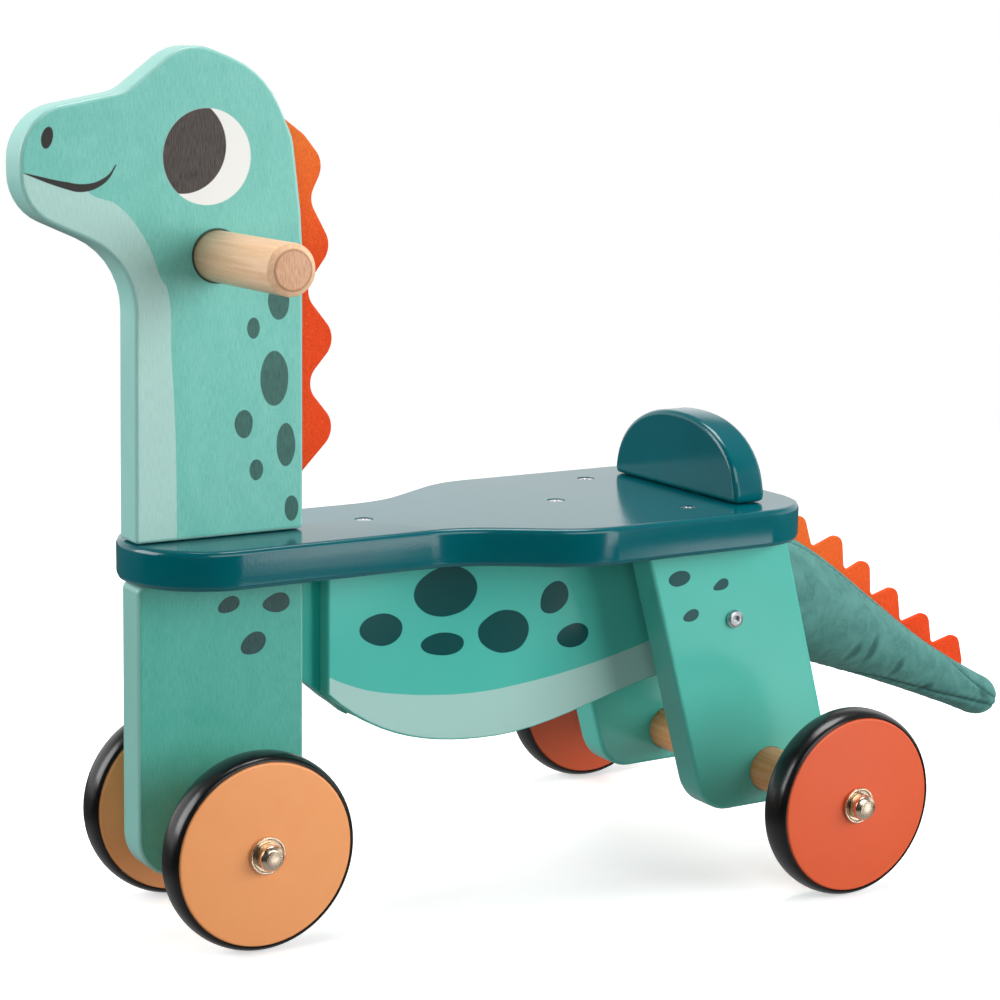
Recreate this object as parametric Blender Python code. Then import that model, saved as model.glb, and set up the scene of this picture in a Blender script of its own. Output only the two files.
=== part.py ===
"""Wooden ride-on dinosaur on four wheels, with a stuffed tail.

Lengths are in millimetres. Outlines are drawn from the front axle: y runs back to the tail,
z is the height over the floor and x points to the dinosaur's left. Everything hangs on one
empty over the front axle, which puts the scene's origin under the middle of the toy.
The head board, the leg boards, the seat and the belly are cut from plywood and bolted
together. The wheels are the only pieces that turn. Nothing steers.
"""
import math

import bmesh
import bpy
from mathutils import Vector

MM = 0.001
GAP = 0.3

# Whole toy
BOARD = 20.0
BOARD_HALF = BOARD / 2.0
FRONT_AXLE_TO_MIDDLE = 210.0
WHEELBASE = 306.0
WHEEL_RADIUS = 50.0
WHEEL_WIDTH = 18.0
AXLE_HEIGHT = WHEEL_RADIUS
SEAT_TOP = 199.2
SEAT_UNDER = SEAT_TOP - BOARD
FRONT_WHEEL_OUT = 58.0
REAR_WHEEL_OUT = 134.3
ROUTER = 2.2
SOFT_ROUTER = 3.0

# Head board and front leg
CHEST_Y = -46.2
NAPE_Y = 44.8
LEG_BOTTOM = 29.0

# Axles and wheel fixings
DOWEL_RADIUS = 12.3
ROD_RADIUS = 3.0
TYRE_SEAT = 46.7
TYRE_HALF = 8.6
DISC_BEVEL = 1.2
WHEEL_SIDES = 42
FLANGE_RADIUS = 9.5
FLANGE = 1.0
FLANGE_RIM = 0.5
CAP_RADIUS = 6.7
CAP_FACE = 4.3
CAP_SIDE = 3.3
CAP_LENGTH = 7.1
CAP_DEEP = 3.0

# Handle, straight through the neck
HANDLE_Y = -1.5
HANDLE_Z = 337.5
HANDLE_RADIUS = 12.5
HANDLE_HALF = 90.0
HANDLE_CHAMFER = 3.2
HANDLE_CHAMFER_LONG = 2.4

# Rear legs, which lean back as they go down
REAR_LEG_IN = 38.0
REAR_LEG_OUT = REAR_LEG_IN + BOARD
LEG_LEAN = 0.28
LEG_WIDTH_LEVEL = 91.5
REAR_LEG_TOP_Y = 222.0
REAR_LEG_BOTTOM = 30.6

# Belly, three layers thick
CORE_HALF = 4.5
BELLY_SIDE = 10.0
BELLY_FRONT = 56.0
BELLY_LOWEST = (158.0, 77.8)
BLOCK_FRONT = 263.0
BLOCK_BOTTOM = 104.0

# Felt
FELT = 3.0
KERF_LOW = (35.0, 224.0)
KERF_HIGH = (29.5, 404.0)
KERF_OPEN = 80.0

# Stuffed tail
TAIL_ROOT_Y = 314.0
TAIL_PATH = ((TAIL_ROOT_Y, 141.8), (349.3, 147.2), (438.8, 80.5), (508.2, 52.0))
TAIL_THICK = 36.5
TAIL_TAPER = 23.6
TAIL_SWELL = 2.6
TAIL_RINGS = 18
TAIL_SIDES = 26

# Backrest
BACK_Y = 278.0
BACK_HALF_WIDTH = 57.5
BACK_HEIGHT = 42.8
BACK_SQUARENESS = 2.2

# Seat
WAIST = 43.5
SEAT_HALF = 79.0

# Screws, bolts and hidden dowels
SEAT_SCREWS = {"front": (0.0, 84.4), "middle": (0.0, 201.4),
               "rear_left": (49.0, 253.0), "rear_right": (-49.0, 253.0)}
SCREW_HEAD = 4.6
SCREW_SHANK = 2.0
SCREW_LENGTH = 40.0
SCREW_SUNK = 0.4
BOLT_AT = (279.0, 137.5)
BOLT_LENGTH = 35.0
BOLT_SHANK = 2.9
BOLT_HEAD = 5.0
JOINT_DOWEL = 5.0
NECK_DOWELS = {"front": -22.0, "rear": 22.0}
BACK_DOWELS = {"right": -28.0, "left": 28.0}


def clear_scene():
    """Remove every object."""
    for item in list(bpy.data.objects):
        bpy.data.objects.remove(item, do_unlink=True)


def material(name, colour, roughness, metallic=0.0):
    """Principled material with a linear colour."""
    made = bpy.data.materials.new(name)
    made.use_nodes = True
    shader = made.node_tree.nodes["Principled BSDF"]
    shader.inputs["Base Color"].default_value = (*colour, 1.0)
    shader.inputs["Roughness"].default_value = roughness
    shader.inputs["Metallic"].default_value = metallic
    made.diffuse_color = (*colour, 1.0)
    return made


def arc_at(before, corner, after, radius, step):
    """Points of the arc that rounds one corner of an outline."""
    corner = Vector(corner)
    to_before = (Vector(before) - corner).normalized()
    to_after = (Vector(after) - corner).normalized()
    if radius <= 0.0:
        return [tuple(corner)]
    half = to_before.angle(to_after) / 2.0
    centre = corner + (to_before + to_after).normalized() * (radius / math.sin(half))
    start = corner + to_before * (radius / math.tan(half)) - centre
    end = corner + to_after * (radius / math.tan(half)) - centre
    swept = math.pi - 2.0 * half
    turn = 1.0 if start.x * end.y - start.y * end.x > 0.0 else -1.0
    count = max(2, round(math.degrees(swept) / step) + 1)
    points = []
    for i in range(count):
        angle = turn * swept * i / (count - 1)
        cos, sin = math.cos(angle), math.sin(angle)
        points.append((centre.x + start.x * cos - start.y * sin,
                       centre.y + start.x * sin + start.y * cos))
    return points


def rounded(corners, step=9.0, closed=True):
    """Outline from corners written as (u, v, radius). An open one keeps its end points sharp."""
    points = []
    for i, (u, v, radius) in enumerate(corners):
        before = corners[i - 1][:2]
        after = corners[(i + 1) % len(corners)][:2]
        end = not closed and i in (0, len(corners) - 1)
        points += arc_at(before, (u, v), after, 0.0 if end else radius, step)
    return [p for i, p in enumerate(points) if math.dist(p, points[i - 1]) > 0.05]


def on_curve(controls, t):
    """Point of a cubic curve in two dimensions."""
    weights = ((1 - t) ** 3, 3 * t * (1 - t) ** 2, 3 * t * t * (1 - t), t ** 3)
    return tuple(sum(w * p[axis] for w, p in zip(weights, controls)) for axis in range(2))


def new_object(name, mesh, parent, look, at=(0.0, 0.0, 0.0)):
    """Link a mesh as an object at a place given in millimetres from the front axle."""
    item = bpy.data.objects.new(name, mesh)
    bpy.context.scene.collection.objects.link(item)
    item.parent = parent
    item.location = Vector(at) * MM
    if look:
        mesh.materials.append(look)
    return item


def in_space(u, v, along, across):
    """Place of an outline's point: across 'x' reads it as (y, z), 'y' as (x, z), 'z' as (x, y)."""
    return Vector({"x": (along, u, v), "y": (u, along, v), "z": (u, v, along)}[across]) * MM


def extruded_mesh(name, outline, low, high, across):
    """Prism of an outline between two places along the axis that it is cut across."""
    mesh = bpy.data.meshes.new(name)
    form = bmesh.new()
    ends = [[form.verts.new(in_space(u, v, along, across)) for u, v in outline]
            for along in (low, high)]
    for i, (a, b) in enumerate(zip(*ends)):
        form.faces.new((a, b, ends[1][i - 1], ends[0][i - 1]))
    for loop in ends:
        form.faces.new(loop)
    bmesh.ops.recalc_face_normals(form, faces=form.faces)
    form.to_mesh(mesh)
    form.free()
    return mesh


def board(name, outline, low, high, across, parent, look, router):
    """Board cut from an outline, its edges rounded the way a router does."""
    item = new_object(name, extruded_mesh(name, outline, low, high, across), parent, look)
    if router:
        tool = item.modifiers.new("roundover", "BEVEL")
        tool.width = router * MM
        tool.segments = 2
        tool.limit_method = "ANGLE"
        tool.angle_limit = math.radians(50.0)
    smooth(item)
    return item


def smooth(item):
    """Shade the round faces smooth and keep the real edges sharp."""
    item.data.shade_smooth()
    item.data.set_sharp_from_angle(angle=math.radians(35.0))


def turned_mesh(name, profile, axis, sides):
    """Lathe a closed profile of (along, radius) points about the X or Z axis."""
    mesh = bpy.data.meshes.new(name)
    form = bmesh.new()
    rings = []
    for along, radius in profile:
        ring = []
        for i in range(sides if radius > 0.0 else 1):
            angle = 2.0 * math.pi * i / sides
            a, b = radius * math.cos(angle), radius * math.sin(angle)
            ring.append(form.verts.new(in_space(a, b, along, axis)))
        rings.append(ring)
    ring_shaped = len(rings[0]) > 1
    pairs = list(zip(rings, rings[1:])) + ([(rings[-1], rings[0])] if ring_shaped else [])
    for low, high in pairs:
        for i in range(sides):
            j = (i + 1) % sides
            loop = [low[i % len(low)], low[j % len(low)], high[j % len(high)], high[i % len(high)]]
            form.faces.new(dict.fromkeys(loop))
    bmesh.ops.recalc_face_normals(form, faces=form.faces)
    form.to_mesh(mesh)
    form.free()
    return mesh


def turned(name, profile, parent, look, at, axis="x", sides=32, mirrored=False):
    """Lathe-turned object."""
    sign = -1.0 if mirrored else 1.0
    profile = [(sign * along, radius) for along, radius in profile]
    item = new_object(name, turned_mesh(name, profile, axis, sides), parent, look, at)
    smooth(item)
    return item


def cutter(name, mesh, parent, at=(0.0, 0.0, 0.0)):
    """Object that only cuts others."""
    item = new_object(name, mesh, parent, None, at)
    item.hide_render = True
    item.display_type = "WIRE"
    return item


def cut(tool, *items):
    """Subtract a cutter from each object."""
    for item in items:
        step = item.modifiers.new(tool.name, "BOOLEAN")
        step.operation = "DIFFERENCE"
        step.solver = "EXACT"
        step.object = tool


def pin_profile(radius, low, high, chamfer):
    """Solid round bar with bevelled ends."""
    return [(low, 0.0), (low, radius - chamfer), (low + chamfer, radius),
            (high - chamfer, radius), (high, radius - chamfer), (high, 0.0)]


def hole(name, radius, low, high, parent, at, axis="x", sides=32):
    """Round cutter between two places along its axis."""
    profile = [(low, 0.0), (low, radius), (high, radius), (high, 0.0)]
    return cutter(name, turned_mesh(name, profile, axis, sides), parent, at)


def head_outline():
    """Head and neck: (y, z, radius) from the neck's front foot, up round the head and down."""
    foot = SEAT_TOP + GAP
    return rounded([
        (CHEST_Y, foot, 0.0),
        (-44.7, 336.8, 38.0),
        (-101.1, 361.6, 25.0),
        (-101.1, 405.9, 26.5),
        (-47.7, 416.1, 20.0),
        (-15.8, 440.6, 25.0),
        (24.4, 425.6, 45.0),
        (39.6, 394.0, 25.0),
        (NAPE_Y, 350.0, 150.0),
        (NAPE_Y, foot, 0.0),
    ])


def front_leg_outline():
    """Leg board under the seat, a little wider at its foot, with round lower corners."""
    top = SEAT_UNDER - GAP
    return rounded([
        (CHEST_Y + 0.7, top, 4.0),
        (CHEST_Y - 0.5, LEG_BOTTOM, 22.0),
        (NAPE_Y, LEG_BOTTOM, 22.0),
        (NAPE_Y, top, 4.0),
    ])


def seat_outline():
    """Seat from above as (x, y): round nose, straight waist and a wide rear."""
    half = [
        (WAIST, -48.5, WAIST),
        (WAIST, 116.0, 60.0),
        (SEAT_HALF, 172.5, 60.0),
        (SEAT_HALF, 323.5, 38.0),
    ]
    other = [(-x, y, radius) for x, y, radius in reversed(half)]
    return rounded(half + other, step=6.0)


def belly_outline():
    """Belly board from its front edge, along the round underside, to the rear block."""
    top = SEAT_UNDER - GAP
    back = BLOCK_FRONT - GAP
    fore = ((BELLY_FRONT, 113.0), (86.0, 84.5), (120.0, BELLY_LOWEST[1]), BELLY_LOWEST)
    aft = (BELLY_LOWEST, (190.0, BELLY_LOWEST[1]), (225.0, 92.0), (back, 98.8))
    under = [on_curve(fore, i / 12) for i in range(12)] + [on_curve(aft, i / 9) for i in range(10)]
    return [(BELLY_FRONT, top)] + under + [(back, top)]


def core_outline():
    """Middle layer: a tongue up against the front leg, with a straight lower edge in front."""
    top = SEAT_UNDER - GAP
    back = BLOCK_FRONT - GAP
    tongue = NAPE_Y + 2.0 * GAP
    return [(tongue, top), (tongue, 121.0), (71.9, 98.7), (78.0, 103.0), (96.0, 92.0),
            (200.0, 92.0), (back, 106.0), (back, top)]


def rear_leg_outline():
    """Leaning rear leg as (y, z), flat under the seat and flat at the foot."""
    top = SEAT_UNDER - GAP
    foot_y = REAR_LEG_TOP_Y + LEG_LEAN * (top - REAR_LEG_BOTTOM)
    return rounded([
        (REAR_LEG_TOP_Y, top, 0.0),
        (foot_y, REAR_LEG_BOTTOM, 22.0),
        (foot_y + LEG_WIDTH_LEVEL, REAR_LEG_BOTTOM, 20.0),
        (REAR_LEG_TOP_Y + LEG_WIDTH_LEVEL, top, 0.0),
    ])


def back_outline():
    """Backrest as (x, z): half an ellipse with slightly square shoulders, on a straight foot."""
    foot = SEAT_TOP + GAP
    power = 2.0 / BACK_SQUARENESS
    points = []
    for i in range(31):
        angle = math.pi * i / 30
        aside = math.copysign(abs(math.cos(angle)) ** power, math.cos(angle))
        high = abs(math.sin(angle)) ** power if 0 < i < 30 else 0.0
        points.append((BACK_HALF_WIDTH * aside, foot + BACK_HEIGHT * high))
    return points


def neck_crest_outline():
    """Four round teeth behind the neck, on a tongue that fills the saw kerf."""
    return rounded([
        (KERF_LOW[0] + GAP, KERF_LOW[1] + GAP, 0.0),
        (NAPE_Y + 0.8, KERF_LOW[1] + GAP, 1.0),
        (69.0, 248.0, 12.0),
        (49.5, 271.5, 11.0),
        (68.8, 293.2, 12.0),
        (49.0, 317.5, 11.0),
        (65.4, 339.5, 12.0),
        (52.2, 363.1, 11.0),
        (61.0, 381.0, 12.0),
        (49.3, 395.0, 8.0),
        (38.5, 402.8, 0.0),
        (KERF_HIGH[0] + 2.0 * GAP, KERF_HIGH[1] - 2.0 * GAP, 0.0),
    ], step=15.0)


def tail_radius(t):
    """The tail tapers towards its tip, full in its first half and slim in its second."""
    return TAIL_THICK - TAIL_TAPER * t + TAIL_SWELL * math.sin(2.0 * math.pi * t)


def tail_frame(t):
    """Place, direction and upward normal of the tail's middle line."""
    ahead = Vector(on_curve(TAIL_PATH, min(t + 0.01, 1.0)))
    behind = Vector(on_curve(TAIL_PATH, max(t - 0.01, 0.0)))
    along = (ahead - behind).normalized() if t > 0.0 else Vector((1.0, 0.0))
    return Vector(on_curve(TAIL_PATH, t)), along, Vector((-along.y, along.x))


def tail_crest_outline():
    """Six round teeth that get smaller towards the tip, on a base that follows the tail."""
    base = []
    for i in range(25):
        t = 0.14 + 0.77 * i / 24
        middle, _, up = tail_frame(t)
        base.append(tuple(middle + up * (tail_radius(t) + GAP)))
    teeth = [
        (495.5, 76.0, 1.0),
        (491.0, 95.0, 6.0),
        (470.0, 90.6, 2.0),
        (467.0, 111.2, 5.5),
        (445.0, 106.4, 2.0),
        (442.0, 129.4, 5.5),
        (421.4, 124.2, 2.0),
        (420.0, 148.5, 5.5),
        (400.8, 141.4, 2.0),
        (398.8, 165.4, 5.5),
        (376.5, 157.9, 2.5),
        (371.0, 178.8, 5.5),
        (347.0, 174.0, 2.0),
    ]
    return base + rounded([base[-1] + (0.0,)] + teeth + [base[0] + (0.0,)], 15.0, False)[1:-1]


def build_boards(root, looks):
    """Seat, neck, legs and backrest."""
    turquoise, petrol = looks["turquoise"], looks["petrol"]
    neck = board("neck_board", head_outline(), -BOARD_HALF, BOARD_HALF, "x", root, turquoise,
                 ROUTER)
    leg = board("front_leg", front_leg_outline(), -BOARD_HALF, BOARD_HALF, "x", root, turquoise,
                ROUTER)
    seat = board("seat", seat_outline(), SEAT_UNDER, SEAT_TOP, "z", root, petrol, SOFT_ROUTER)
    legs = [board("rear_leg_" + side, rear_leg_outline(), low, low + BOARD, "x", root, turquoise,
                  ROUTER)
            for side, low in (("left", REAR_LEG_IN), ("right", -REAR_LEG_OUT))]
    back = board("backrest", back_outline(), BACK_Y, BACK_Y + BOARD, "y", root, petrol,
                 SOFT_ROUTER)
    return neck, leg, seat, legs, back


def build_belly(root, looks):
    """Three belly layers and the block between the rear legs that carries the tail."""
    look = looks["turquoise"]
    core = board("belly_core", core_outline(), -CORE_HALF, CORE_HALF, "x", root, look, 0.0)
    inner = CORE_HALF + GAP
    for side, low in (("left", inner), ("right", -inner - BELLY_SIDE)):
        board("belly_" + side, belly_outline(), low, low + BELLY_SIDE, "x", root, look, 1.5)
    half = REAR_LEG_IN - GAP
    top = SEAT_UNDER - GAP
    back = TAIL_ROOT_Y - GAP
    corners = [(BLOCK_FRONT, top, 0.0), (BLOCK_FRONT, BLOCK_BOTTOM, 3.0),
               (back, BLOCK_BOTTOM, 3.0), (back, top, 0.0)]
    block = board("tail_block", rounded(corners), -half, half, "x", root, look, 0.0)
    return core, block


def build_handle(root, looks, neck):
    """Round grip bar through the neck, chamfered at both ends."""
    at = (0.0, HANDLE_Y, HANDLE_Z)
    side = HANDLE_HALF - HANDLE_CHAMFER_LONG
    face = HANDLE_RADIUS - HANDLE_CHAMFER
    left = [(side - 0.6, HANDLE_RADIUS), (side, HANDLE_RADIUS - 0.4),
            (HANDLE_HALF - 0.3, face + 0.4), (HANDLE_HALF, face)]
    right = [(-along, radius) for along, radius in reversed(left)]
    profile = [(-HANDLE_HALF, 0.0)] + right + left + [(HANDLE_HALF, 0.0)]
    turned("handle", profile, root, looks["beech"], at)
    cut(hole("cut_handle", HANDLE_RADIUS + GAP, -BOARD, BOARD, root, at), neck)


def build_axle(name, at_y, wheel_out, root, looks, boards):
    """Wooden bar through the boards with a steel rod, and the fixings at both ends."""
    at = (0.0, at_y, AXLE_HEIGHT)
    inner = wheel_out - WHEEL_WIDTH - GAP
    bar = turned(name + "_axle_dowel", pin_profile(DOWEL_RADIUS, -inner, inner, 0.8), root,
                 looks["beech"], at)
    through = inner + 1.0
    cut(hole("cut_rod_" + name, ROD_RADIUS + GAP, -through, through, root, at, sides=16), bar)
    past = REAR_LEG_OUT + BOARD_HALF
    cut(hole("cut_bar_" + name, DOWEL_RADIUS + GAP, -past, past, root, at), *boards)
    end = wheel_out + 2.0 * GAP + FLANGE + CAP_DEEP
    turned(name + "_axle_rod", pin_profile(ROD_RADIUS, -end, end, 0.4), root, looks["steel"], at,
           sides=16)
    for side, sign in (("left", 1.0), ("right", -1.0)):
        build_wheel(name + "_" + side, sign, wheel_out, at, root, looks)


def build_wheel(name, sign, wheel_out, axle, root, looks):
    """Painted wheel disc with its crowned rubber band, a flange and a domed cap on the rod."""
    half = WHEEL_WIDTH / 2.0
    at = (sign * (wheel_out - half), axle[1], axle[2])
    bore = ROD_RADIUS + GAP
    rim = TYRE_SEAT - GAP
    disc = [(-half, bore), (-half, rim - DISC_BEVEL), (-half + DISC_BEVEL, rim),
            (half - DISC_BEVEL, rim), (half, rim - DISC_BEVEL), (half, bore)]
    colour = looks["orange"] if name.startswith("front") else looks["red"]
    turned("wheel_disc_" + name, disc, root, colour, at, sides=WHEEL_SIDES)
    crown = WHEEL_RADIUS - TYRE_SEAT
    angles = [math.radians(d) for d in (180, 157.5, 135, 112.5, 90, 67.5, 45, 22.5, 0)]
    tyre = [(TYRE_HALF * math.cos(a), TYRE_SEAT + crown * math.sin(a)) for a in angles]
    turned("wheel_tyre_" + name, tyre, root, looks["rubber"], at, sides=WHEEL_SIDES)
    face = wheel_out + GAP
    raised = face + FLANGE + FLANGE_RIM
    flange = [(face, bore), (face, FLANGE_RADIUS), (raised - 0.4, FLANGE_RADIUS),
              (raised, FLANGE_RADIUS - 0.5), (raised, FLANGE_RADIUS - 1.1),
              (face + FLANGE, FLANGE_RADIUS - 1.6), (face + FLANGE, bore)]
    outside = face + FLANGE + GAP
    dome = [(math.sin(a), math.cos(a)) for a in (math.radians(d) for d in (0, 30, 60, 80))]
    cap = [(outside + CAP_DEEP, 0.0), (outside + CAP_DEEP, bore), (outside, bore),
           (outside, CAP_RADIUS)]
    cap += [(outside + CAP_SIDE + (CAP_LENGTH - CAP_SIDE) * s,
             CAP_FACE + (CAP_RADIUS - CAP_FACE) * c) for s, c in dome]
    cap += [(outside + CAP_LENGTH, 0.0)]
    hub = (0.0, axle[1], axle[2])
    turned("hub_washer_" + name, flange, root, looks["nickel"], hub, sides=20, mirrored=sign < 0)
    turned("axle_cap_" + name, cap, root, looks["nickel"], hub, sides=20, mirrored=sign < 0)


def build_seat_screws(root, looks, seat, targets):
    """Countersunk screws from the seat into the belly core and the rear legs."""
    taper = -SCREW_SUNK - 0.6
    neck = taper - (SCREW_HEAD - SCREW_SHANK)
    socket = -SCREW_SUNK - 1.6
    screw = [(-SCREW_LENGTH, 0.0), (-SCREW_LENGTH + 2.0, SCREW_SHANK), (neck, SCREW_SHANK),
             (taper, SCREW_HEAD), (-SCREW_SUNK, SCREW_HEAD), (-SCREW_SUNK, 2.0), (socket, 1.7),
             (socket, 0.0)]
    shank, mouth = SCREW_SHANK + GAP, SCREW_HEAD + GAP
    bottom, deep = -SCREW_LENGTH - 1.0, neck - GAP
    drill = [(bottom, 0.0), (bottom, shank), (deep, shank), (deep + mouth - shank, mouth),
             (2.0, mouth), (2.0, 0.0)]
    for (name, (x, y)), target in zip(SEAT_SCREWS.items(), targets):
        at = (x, y, SEAT_TOP)
        turned("seat_screw_" + name, screw, root, looks["steel"], at, axis="z", sides=16)
        tool = cutter("cut_screw_" + name, turned_mesh("cut_screw_" + name, drill, "z", 16), root,
                      at)
        cut(tool, seat, target)


def build_leg_bolts(root, looks, legs, block):
    """Button-head bolts through the rear legs into the tail block."""
    bolt = [(-BOLT_LENGTH, 0.0), (-BOLT_LENGTH, BOLT_SHANK - 0.7), (1.0 - BOLT_LENGTH, BOLT_SHANK),
            (GAP, BOLT_SHANK), (GAP, BOLT_HEAD), (1.4, BOLT_HEAD - 0.2), (2.5, 3.6), (2.8, 2.2),
            (1.2, 2.0), (1.2, 0.0)]
    for side, sign, leg in (("left", 1.0, legs[0]), ("right", -1.0, legs[1])):
        at = (sign * REAR_LEG_OUT, *BOLT_AT)
        turned("leg_bolt_" + side, bolt, root, looks["nickel"], at, sides=16, mirrored=sign < 0)
        deep = -sign * (BOLT_LENGTH + 1.0)
        cut(hole("cut_bolt_" + side, BOLT_SHANK + GAP, deep, 4.0 * sign, root, at, sides=16), leg,
            block)


def build_joint_dowels(root, looks, neck, leg, seat, back):
    """Hidden beech dowels: neck to leg through the seat, and backrest to seat."""
    neck_joints = [("neck_dowel_" + name, (0.0, y, SEAT_TOP - BOARD_HALF), -30.0, 30.0,
                    (neck, leg, seat)) for name, y in NECK_DOWELS.items()]
    back_joints = [("back_dowel_" + name, (x, BACK_Y + BOARD_HALF, SEAT_TOP), -12.0, 16.0,
                    (back, seat)) for name, x in BACK_DOWELS.items()]
    for name, at, low, high, boards in neck_joints + back_joints:
        turned(name, pin_profile(JOINT_DOWEL, low, high, 0.8), root, looks["beech"], at, axis="z",
               sides=16)
        cut(hole("cut_" + name, JOINT_DOWEL + GAP, low - 0.5, high + 0.5, root, at, "z", 16),
            *boards)


def build_crests(root, looks, neck):
    """Felt crests: the neck's is glued into a saw kerf, the tail's is sewn on."""
    half = FELT / 2.0
    outlines = {"neck_crest": neck_crest_outline(), "tail_crest": tail_crest_outline()}
    for name, outline in outlines.items():
        new_object(name, extruded_mesh(name, outline, -half, half, "x"), root, looks["felt"])
    slot = [KERF_LOW, (KERF_OPEN, KERF_LOW[1]), (KERF_OPEN, KERF_HIGH[1]), KERF_HIGH]
    kerf = extruded_mesh("cut_kerf", slot, -half - GAP, half + GAP, "x")
    cut(cutter("cut_kerf", kerf, root), neck)


def tail_rings():
    """Rings of points in (x, y, z) along the tail: round ones, then the round tip's."""
    tip = tail_radius(1.0)
    stations = [(i / TAIL_RINGS, 1.0, 0.0) for i in range(TAIL_RINGS + 1)]
    stations += [(1.0, math.cos(a), tip * math.sin(a))
                 for a in (math.radians(d) for d in (22, 45, 68))]
    rings = []
    for t, shrink, ahead in stations:
        middle, along, up = tail_frame(t)
        radius = tail_radius(t) * shrink
        ring = []
        for i in range(TAIL_SIDES):
            angle = 2.0 * math.pi * i / TAIL_SIDES
            flat = middle + along * ahead + up * (radius * math.sin(angle))
            ring.append((radius * math.cos(angle), flat.x, flat.y))
        rings.append(ring)
    return rings


def build_tail(root, looks):
    """Stuffed tail: rings along the middle line, a flat root and a round tip."""
    mesh = bpy.data.meshes.new("tail")
    form = bmesh.new()
    loops = [[form.verts.new(Vector(p) * MM) for p in ring] for ring in tail_rings()]
    middle, along, _ = tail_frame(1.0)
    point = middle + along * tail_radius(1.0)
    nose = form.verts.new(Vector((0.0, point.x, point.y)) * MM)
    for i in range(TAIL_SIDES):
        j = (i + 1) % TAIL_SIDES
        for low, high in zip(loops, loops[1:]):
            form.faces.new((low[i], low[j], high[j], high[i]))
        form.faces.new((loops[-1][i], loops[-1][j], nose))
    form.faces.new(loops[0])
    bmesh.ops.recalc_face_normals(form, faces=form.faces)
    form.to_mesh(mesh)
    form.free()
    smooth(new_object("tail", mesh, root, looks["velvet"]))


def main():
    """Build the whole toy."""
    clear_scene()
    looks = {
        "turquoise": material("turquoise_paint", (0.11, 0.47, 0.40), 0.45),
        "petrol": material("petrol_lacquer", (0.004, 0.16, 0.18), 0.18),
        "beech": material("oiled_beech", (0.72, 0.45, 0.26), 0.5),
        "orange": material("orange_paint", (0.88, 0.38, 0.14), 0.4),
        "red": material("red_orange_paint", (0.73, 0.12, 0.05), 0.4),
        "rubber": material("black_rubber", (0.012, 0.012, 0.013), 0.25),
        "steel": material("zinc_steel", (0.55, 0.56, 0.58), 0.35, 1.0),
        "nickel": material("nickel_plate", (0.72, 0.70, 0.66), 0.22, 1.0),
        "felt": material("orange_felt", (0.86, 0.11, 0.03), 0.95),
        "velvet": material("green_velvet", (0.13, 0.32, 0.28), 0.9),
    }
    root = bpy.data.objects.new("over_front_axle", None)
    bpy.context.scene.collection.objects.link(root)
    root.location = (0.0, -FRONT_AXLE_TO_MIDDLE * MM, 0.0)
    neck, leg, seat, legs, back = build_boards(root, looks)
    core, block = build_belly(root, looks)
    build_handle(root, looks, neck)
    build_crests(root, looks, neck)
    build_axle("front", 0.0, FRONT_WHEEL_OUT, root, looks, [leg])
    build_axle("rear", WHEELBASE, REAR_WHEEL_OUT, root, looks, legs)
    build_seat_screws(root, looks, seat, (core, core, *legs))
    build_leg_bolts(root, looks, legs, block)
    build_joint_dowels(root, looks, neck, leg, seat, back)
    build_tail(root, looks)


main()
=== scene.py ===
"""Looks of the wooden ride-on dinosaur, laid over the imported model.

Lengths are in millimetres on the drawing's axes, as in the part's source: y runs back from the
front axle, z is the height over the floor and x points to the dinosaur's left.
"""

import math

import bmesh
import bpy
import numpy as np
from mathutils import Matrix, Vector


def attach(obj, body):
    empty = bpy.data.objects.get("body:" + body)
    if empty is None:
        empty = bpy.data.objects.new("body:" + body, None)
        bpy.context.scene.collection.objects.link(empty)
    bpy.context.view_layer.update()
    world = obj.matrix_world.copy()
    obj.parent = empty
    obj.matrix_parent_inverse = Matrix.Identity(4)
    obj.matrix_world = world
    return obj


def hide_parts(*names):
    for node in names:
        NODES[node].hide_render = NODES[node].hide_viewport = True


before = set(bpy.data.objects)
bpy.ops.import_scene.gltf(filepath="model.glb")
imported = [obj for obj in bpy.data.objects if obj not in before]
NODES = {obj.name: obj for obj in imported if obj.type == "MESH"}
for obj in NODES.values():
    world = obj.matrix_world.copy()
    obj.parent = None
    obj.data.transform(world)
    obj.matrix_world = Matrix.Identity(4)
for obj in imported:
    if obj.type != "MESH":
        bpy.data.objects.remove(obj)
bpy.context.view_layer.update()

MM = 0.001
AXLE_TO_MIDDLE = 210.0

# Values of the drawing that the looks repeat
AXLE_HEIGHT = 50.0
WHEELBASE = 306.0
WHEEL_WIDTH = 18.0
WHEEL_OUT = {"front": 58.0, "rear": 134.3}
TYRE_SEAT, TYRE_CROWN, TYRE_HALF = 46.7, 3.3, 8.6
GAP = 0.3
BORE = 3.3
FLANGE_RADIUS, CAP_RADIUS = 9.5, 6.7
HANDLE = (-1.5, 337.5)
HANDLE_HALF, HANDLE_RADIUS, HANDLE_FACE = 90.0, 12.5, 9.3
FELT = 3.0
SEAT_TOP = 199.2
SEAT_SCREWS = {"front": (0.0, 84.4), "middle": (0.0, 201.4),
               "rear_left": (49.0, 253.0), "rear_right": (-49.0, 253.0)}
REAR_LEG_OUT = 58.0
BOLT_AT = (279.0, 137.5)
TAIL_ROOT_Y = 314.0
TAIL_PATH = ((TAIL_ROOT_Y, 141.8), (349.3, 147.2), (438.8, 80.5), (508.2, 52.0))
TAIL_THICK, TAIL_TAPER, TAIL_SWELL = 36.5, 23.6, 2.6
TAIL_LENGTH = 225.0
TAIL_STATIONS = 241
# The stuffed cover ends about this much fuller than the drawing, starts this much slimmer than
# that, and moves less and less over this length at its root
TAIL_FULLER = 1.4
TAIL_TO_FILL = 2.2
ROOT_HELD = 12.0
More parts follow.
